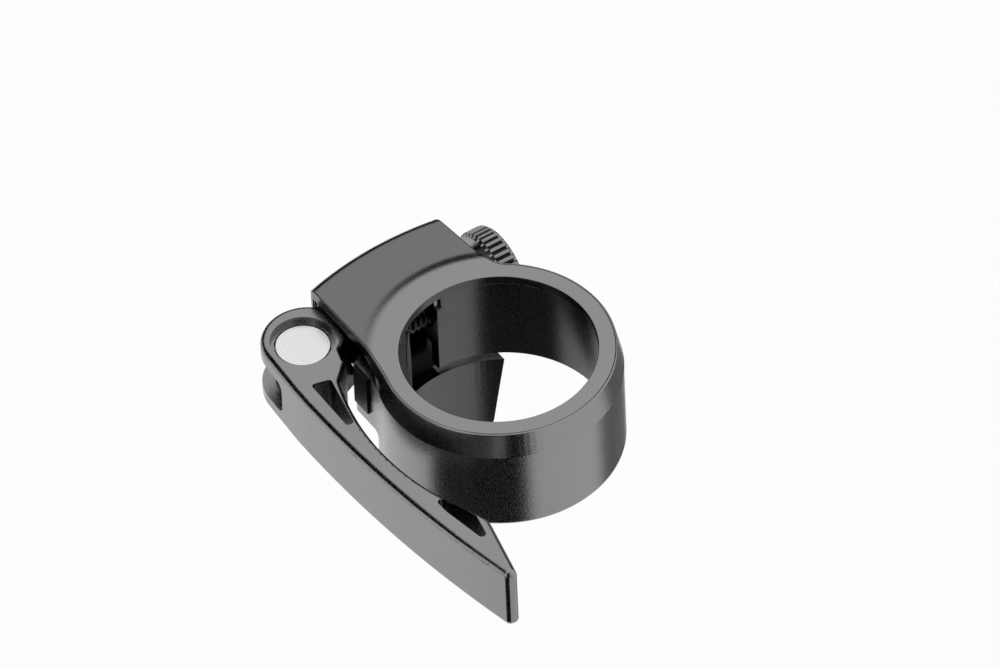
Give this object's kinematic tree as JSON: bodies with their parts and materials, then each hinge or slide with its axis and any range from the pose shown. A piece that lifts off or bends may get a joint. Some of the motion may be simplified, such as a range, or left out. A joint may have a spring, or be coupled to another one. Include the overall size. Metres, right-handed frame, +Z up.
{
  "type": "quick-release seatpost clamp",
  "caption": "Split ring clamp with an unsplit top cover, closed by a cam lever on a threaded skewer, with a guard tongue under the slot.",
  "frame": {"origin": "on the bore's axis at the clamp ring's lower face, where the frame's seat tube ends its way in", "axes": "+Z up the seatpost, +X along the skewer from the lever to the nut, +Y from the bore to the clamping lugs"},
  "size_m": [0.0489, 0.0698, 0.0374],
  "materials": {
    "ring": "satin black anodised forged aluminium",
    "cover": "satin black anodised aluminium",
    "lever": "satin black anodised forged aluminium",
    "washer": "plain black bearing plastic",
    "pin": "face turned, bare",
    "rod": "cold drawn and threaded",
    "nut": "black anodised, knurled",
    "nut_washer": "plated"
  },
  "bodies": {
    "clamp": {"clamp_ring": "ring", "top_cover": "cover", "cam_washer": "washer", "nut_washer": "nut_washer"},
    "skewer": {"skewer_rod": "rod", "barrel_pin": "pin"},
    "lever": {"cam_lever": "lever"},
    "nut": {"knurled_nut": "nut"}
  },
  "joints": [
    {"name": "skewer_slide", "type": "slide", "parent": "clamp", "child": "skewer", "axis": [1, 0, 0], "range_m": [0, 0.00078]},
    {"name": "lever_swing", "type": "hinge", "parent": "skewer", "child": "lever", "pos_m": [-0.0224, 0.0218, 0.0103], "axis": [0, 0, -1], "range_deg": [0, 160]},
    {"name": "nut_spin", "type": "hinge", "parent": "skewer", "child": "nut", "pos_m": [0.012, 0.0218, 0.0103], "axis": [1, 0, 0], "continuous": true}
  ],
  "couplings": [
    {"joint": "lever_swing", "follows": "skewer_slide", "rad_per_m": 3580}
  ]
}
